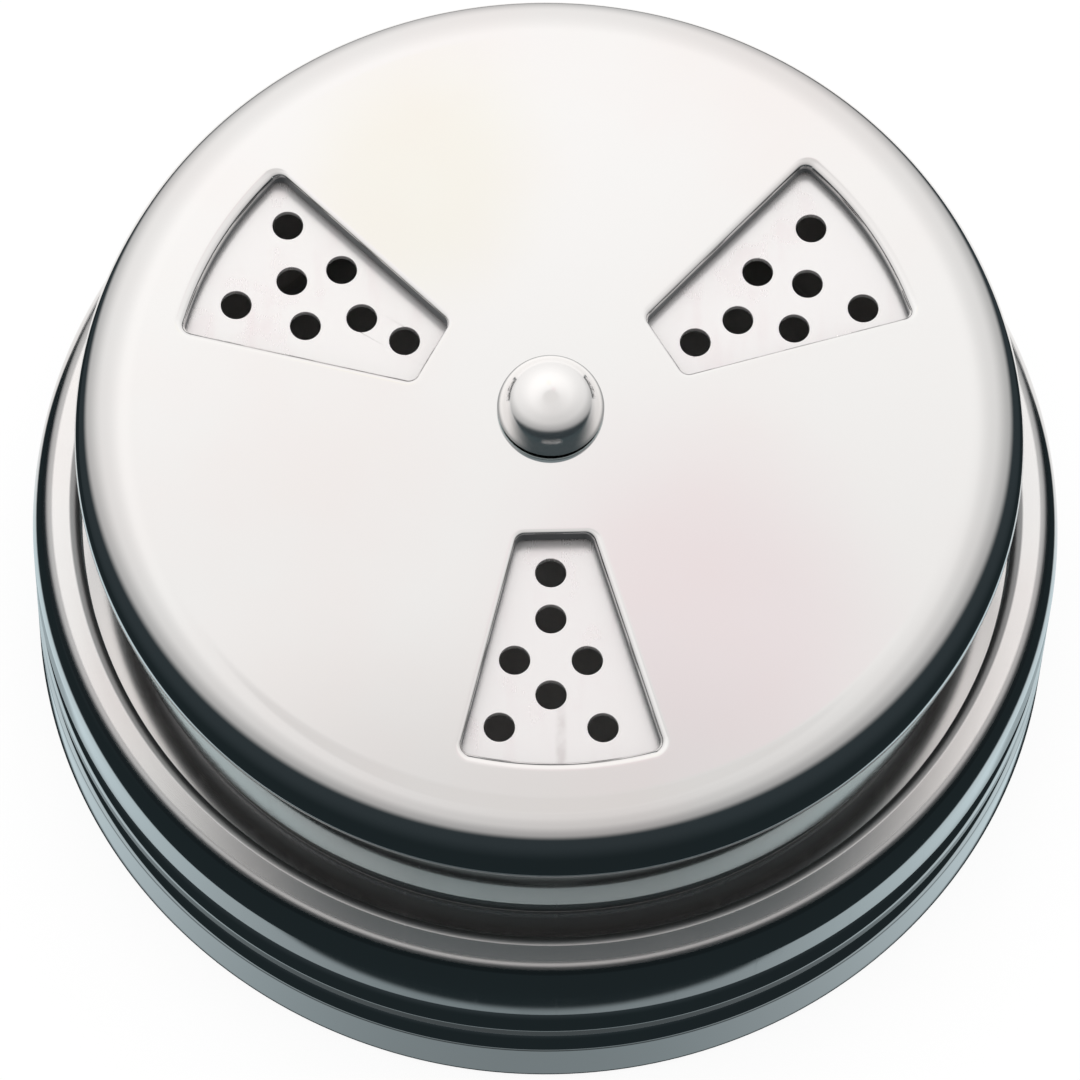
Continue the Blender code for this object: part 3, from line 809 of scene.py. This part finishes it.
def build_cup(finish):
    """One drawn sheet: threaded neck, shoulder, bead, plain band and flat base."""
    bead_inner = BODY_RADIUS - CUP_BEAD
    path = [(CUP_NECK_RADIUS, CUP_RIM)]
    neck_foot = (CUP_NECK_RADIUS + CUP_NECK_FILLET, CUP_SHOULDER + CUP_NECK_FILLET)
    path += arc(neck_foot, CUP_NECK_FILLET, 180, 270)
    shoulder = (bead_inner - CUP_SHOULDER_EDGE, CUP_SHOULDER - CUP_SHOULDER_EDGE)
    path += arc(shoulder, CUP_SHOULDER_EDGE, 90, 0)
    path += arc((bead_inner, CUP_BEAD_HIGH), CUP_BEAD, 90, 0)
    path.append((BODY_RADIUS, CUP_BEAD_LOW))
    path.append((bead_inner, CUP_BEAD_UNDERSIDE))
    path += arc((bead_inner, CUP_BAND), CUP_BEAD, 90, 0)
    path += arc((BODY_RADIUS - CUP_BASE_EDGE, CUP_BASE_EDGE), CUP_BASE_EDGE, 0, -90)
    path.append((0.0, 0.0))
    bm = bmesh.new()
    spin(bm, supported(path))
    close_and_face_out(bm)
    cup = piece("polished_cup", bm, finish, "cup")
    thicken(cup)
    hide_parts("cup")


def build_cup_thread(finish):
    """The round bead that winds up the cup's neck."""
    bm = bmesh.new()
    start = Matrix.Translation((CUP_NECK_RADIUS + THREAD_STAND, 0, THREAD_START))
    upright = Matrix.Rotation(math.pi / 2, 4, "X")
    made = bmesh.ops.create_circle(bm, segments=THREAD_SIDES, radius=THREAD_BEAD, matrix=start @ upright)
    steps = int(SEGMENTS * THREAD_TURNS)
    bmesh.ops.spin(
        bm, geom=made["verts"] + list(bm.edges), cent=(0, 0, 0), axis=(0, 0, 1),
        angle=2 * math.pi * THREAD_TURNS, steps=steps, dvec=(0, 0, THREAD_PITCH * THREAD_TURNS / steps),
    )
    bmesh.ops.holes_fill(bm, edges=bm.edges, sides=0)
    close_and_face_out(bm)
    round_edges(piece("cup_thread", bm, finish, "cup"), EDGE_ROUNDING)


def dress(node, finish):
    """Gives a node of the frame its finish."""
    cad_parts[node].material_slots[0].material = finish


def build_hidden_finishes():
    """The finishes of the pieces inside, which keep their CAD shapes."""
    for node, name, light, dark, roughness, grain, offset in MOULDED_PIECES:
        dress(node, moulded(name, (*light, 1.0), (*dark, 1.0), roughness, grain, offset))
    for node, name, bright, dark, roughness, offset in TURNED_PIECES:
        dress(node, turned_steel(name, (*bright, 1.0), (*dark, 1.0), roughness, offset))


def stage_mesh(name, bm, finish):
    """A piece of the studio. It isn't part of the shaker."""
    made = smooth_object(name, bm, finish)
    return made


def tent_piece(name, path, finish):
    """A turned piece of the tent, which only shows as a reflection."""
    bm = bmesh.new()
    spin(bm, path)
    made = stage_mesh(name, bm, finish)
    made.visible_camera = False
    made.visible_diffuse = False
    made.visible_shadow = False


def backdrop_share(nodes):
    """1 for the rays that see the white background: straight, mirrored or through glass."""
    names = ("Is Camera Ray", "Is Glossy Ray", "Is Transmission Ray")
    straight, mirrored, through = [nodes.add("ShaderNodeLightPath", output=name) for name in names]
    seen = straight.math("MAXIMUM", straight, mirrored)
    return seen.math("MAXIMUM", seen, through)


def facing(nodes, place, azimuth):
    """The cosine of the angle, seen from above, between a place's direction and an azimuth."""
    direction = nodes.vector("NORMALIZE", nodes.level(place))
    ahead = (math.cos(azimuth), math.sin(azimuth), 0.0)
    return nodes.vector("DOT_PRODUCT", direction, ahead, "Value")


def spot(nodes, place, center, radii):
    """A soft tall spot: 1 within its inner radius, 0 beyond its outer one, in mm."""
    away = nodes.vector("SUBTRACT", place, center)
    return nodes.falling(nodes.length(nodes.vector("MULTIPLY", away, SPOT_SHAPE)), radii)


def floor_finish():
    """Pale, and almost white where the background is seen."""
    finish = bpy.data.materials.new("pale_floor")
    nodes = Nodes(finish)
    pale = nodes.add("ShaderNodeBsdfDiffuse", sockets={"Color": FLOOR_COLOR})
    white = nodes.add("ShaderNodeEmission", sockets={"Color": WHITE, "Strength": 1.0})
    share = FLOOR_WHITE_SHARE * backdrop_share(nodes)
    shown = nodes.add("ShaderNodeMixShader", sockets={0: share, 1: pale, 2: white})
    nodes.add("ShaderNodeOutputMaterial", sockets={"Surface": shown})
    return finish


def cloth_glow(nodes, first, second, third):
    """Light from the tent's cloth, as the steel shows it at first, second and third hand: the later tones
    are painted shade, and in places painted light, picked by how many bounces the ray has made.
    """
    depth = nodes.add("ShaderNodeLightPath", output="Glossy Depth")
    later = nodes.mixed(depth.math("GREATER_THAN", depth, THIRD_HAND_DEPTH), second, third)
    color = nodes.mixed(depth.math("GREATER_THAN", depth, SECOND_HAND_DEPTH), first, later)
    glow = nodes.add("ShaderNodeEmission", sockets={"Color": color})
    nodes.add("ShaderNodeOutputMaterial", sockets={"Surface": glow})


def wall_finish():
    """White cloth over a dark edge that is highest in front, with a soft step and a slow fade above it."""
    finish = bpy.data.materials.new("tent_wall")
    nodes = Nodes(finish)
    place = nodes.place()
    height = nodes.height(place)
    ahead = facing(nodes, place, TENT_FRONT)
    above = height - (EDGE_HEIGHT + EDGE_SWING * ahead)
    lit = nodes.stepped(above, LIT_STEPS)
    level = CLOTH_LEVEL - CLOTH_SHADE * facing(nodes, place, TENT_SHADE)
    high = nodes.stepped(height, HIGH_STEPS)
    tinted = nodes.mixed(spot(nodes, place, PINK_SPOT, PINK_RADII), TENT_CLOTH, TENT_PINK)
    tinted = nodes.mixed(spot(nodes, place, YELLOW_SPOT, YELLOW_RADII), tinted, TENT_YELLOW)
    cloth = nodes.scaled(tinted, level + high * (HIGH_LEVEL - level))
    dark = nodes.mixed(nodes.rising(above, DUSK_LIMITS), TENT_DARK, TENT_DUSK)
    first = nodes.mixed(lit, dark, cloth)
    # Painted shade and painted light for later bounces: dark in front and high up, brighter cloth low at
    # the sides and back, and a blue-grey third-hand tone
    front = nodes.rising(ahead, AGAIN_FRONT)
    low = nodes.between(height, *AGAIN_LOW, first=1.0, last=AGAIN_HIGH_SHARE)
    lit_again = lit * low * (1.0 - AGAIN_FRONT_SHARE * front)
    second = nodes.mixed(lit_again, TENT_DARK_AGAIN, nodes.scaled(cloth, AGAIN_GLOW))
    third = nodes.scaled(TENT_THIRD, THIRD_LEVEL - THIRD_SWING * ahead)
    cloth_glow(nodes, first, second, third)
    return finish


def roof_finish():
    finish = bpy.data.materials.new("tent_roof")
    # Painted shade: later bounces see the roof much darker
    cloth_glow(Nodes(finish), TENT_ROOF, TENT_ROOF_AGAIN, TENT_ROOF_AGAIN)
    return finish


def ground_finish():
    """A dark mat round the shaker, with a blue-grey ring at its foot that is wide and pale at the back:
    the ring is the painted shadow of the floor round the foot, as the steel shows it, and it is dark right
    at the foot as a painted contact shadow.

    A darker line of painted shade runs round in the ring. It is closer in where the ring is paler.
    """
    finish = bpy.data.materials.new("ground_card")
    nodes = Nodes(finish)
    place = nodes.place()
    reach = nodes.length(place)
    ahead = facing(nodes, place, CAMERA_AZIMUTH)
    side = nodes.falling(ahead, FOOT_SIDE)
    back = nodes.falling(ahead, FOOT_BACK)
    limit = FOOT_LIMIT + FOOT_LIMIT_SIDE * side + FOOT_LIMIT_BACK * back
    near = nodes.falling(reach, (limit, limit + (FOOT_FADE + FOOT_FADE_SIDE * side)))
    near = near * nodes.rising(reach, FOOT_START)
    rise = ahead.math("MINIMUM", FOOT_RISE - FOOT_RISE * ahead, FOOT_RISE_MOST)
    shifted = reach + LINE_SHIFT * rise
    line = nodes.rising(shifted, LINE_START) * nodes.falling(shifted, LINE_END)
    # Painted shadow: the ring's tone and its darker line
    tint = nodes.mixed(nodes.falling(ahead, FOOT_BEHIND), FOOT_SLATE, FOOT_PALE)
    level = FOOT_LEVEL + rise + FOOT_LEVEL_BACK * back
    ring = nodes.scaled(tint, level * (1.0 - (LINE_DEPTH - LINE_DEPTH_LOSS * rise) * line))
    again = nodes.mixed(near, TENT_DARK_AGAIN, ring)
    cloth_glow(nodes, nodes.mixed(near, TENT_DARK, ring), again, again)
    return finish


def build_world():
    """A white background over a slightly darker room light."""
    world = bpy.data.worlds.new("white_room")
    nodes = Nodes(world)
    room = nodes.add("ShaderNodeBackground", sockets={"Color": ROOM_COLOR})
    white = nodes.add("ShaderNodeBackground", sockets={"Color": WHITE})
    shown = nodes.add("ShaderNodeMixShader", sockets={0: backdrop_share(nodes), 1: room, 2: white})
    nodes.add("ShaderNodeOutputWorld", sockets={"Surface": shown})
    bpy.context.scene.world = world


def build_studio():
    """A pale floor, a cloth tent that shows only in the steel, an overhead lamp and a white world."""
    bm = bmesh.new()
    bmesh.ops.create_grid(bm, x_segments=1, y_segments=1, size=FLOOR_HALF)
    bmesh.ops.translate(bm, verts=bm.verts, vec=(0, 0, -FLOOR_DROP))
    stage_mesh("floor", bm, floor_finish())
    tent_piece("tent_wall", [(TENT_RADIUS, 0.0), (TENT_RADIUS, TENT_HEIGHT)], wall_finish())
    tent_piece("tent_roof", [(0.0, TENT_HEIGHT), (TENT_RADIUS, TENT_HEIGHT)], roof_finish())
    tent_piece("ground_card", [(0.0, 0.0), (TENT_RADIUS, 0.0)], ground_finish())
    lamp = bpy.data.lights.new("overhead_lamp", "AREA")
    lamp.size = LAMP_SIZE
    lamp.energy = LAMP_ENERGY
    hung = bpy.data.objects.new("overhead_lamp", lamp)
    hung.location = LAMP_PLACE
    hung.visible_glossy = False
    bpy.context.scene.collection.objects.link(hung)
    build_world()


def build_camera():
    """The photo's viewpoint: the cap's centre falls on its pixel, with a slight roll."""
    cap_centre = Vector((0.0, 0.0, CAP_TOP))
    level = math.cos(CAMERA_ELEVATION)
    ahead_x, ahead_y = math.cos(CAMERA_AZIMUTH), math.sin(CAMERA_AZIMUTH)
    away = Vector((level * ahead_x, level * ahead_y, math.sin(CAMERA_ELEVATION)))
    right = Vector((-ahead_y, ahead_x, 0.0))
    right = math.cos(CAMERA_ROLL) * right + math.sin(CAMERA_ROLL) * away.cross(right)
    up = away.cross(right)
    position = cap_centre + CAMERA_DISTANCE * away
    pixel = CAMERA_DISTANCE / PIXELS_PER_RADIAN
    across, down = [IMAGE_PIXELS / 2 - place for place in CAP_CENTRE_PIXEL]
    aim = cap_centre + right * across * pixel - up * down * pixel
    away = (position - aim).normalized()
    right = (right - away * right.dot(away)).normalized()
    up = away.cross(right)
    lens = bpy.data.cameras.new("photo_camera")
    lens.sensor_width = SENSOR_WIDTH_MM
    lens.lens = SENSOR_WIDTH_MM * PIXELS_PER_RADIAN / IMAGE_PIXELS
    camera = bpy.data.objects.new("photo_camera", lens)
    turn = Matrix((right, up, away)).transposed().to_4x4()
    camera.matrix_world = Matrix.Translation(position) @ turn
    bpy.context.scene.collection.objects.link(camera)
    bpy.context.scene.camera = camera


def main():
    sheet = (STEEL, STEEL_WARM, POLISHED)
    build_cap(polished_steel("cap_steel", *sheet, offset=0.0, shaded_edges=cap_shaded_cut_edges))
    build_knob(polished_steel("knob_steel", KNOB_STEEL, KNOB_STEEL_WARM, KNOB_ROUGHNESS, offset=0.1))
    build_sieve(rolled_steel("sieve_steel", SIEVE_STEEL, SIEVE_STEEL_WARM, SIEVE_ROUGHNESS, offset=0.2))
    build_lid(polished_steel("lid_steel", *sheet, offset=0.3, film=lid_film, shaded_edges=lid_painted_shade))
    cup_steel = polished_steel("cup_steel", *sheet, offset=0.4, film=cup_film)
    build_cup(cup_steel)
    build_cup_thread(cup_steel)
    build_hidden_finishes()
    build_studio()
    build_camera()
    bpy.context.scene.view_settings.view_transform = "Standard"


main()
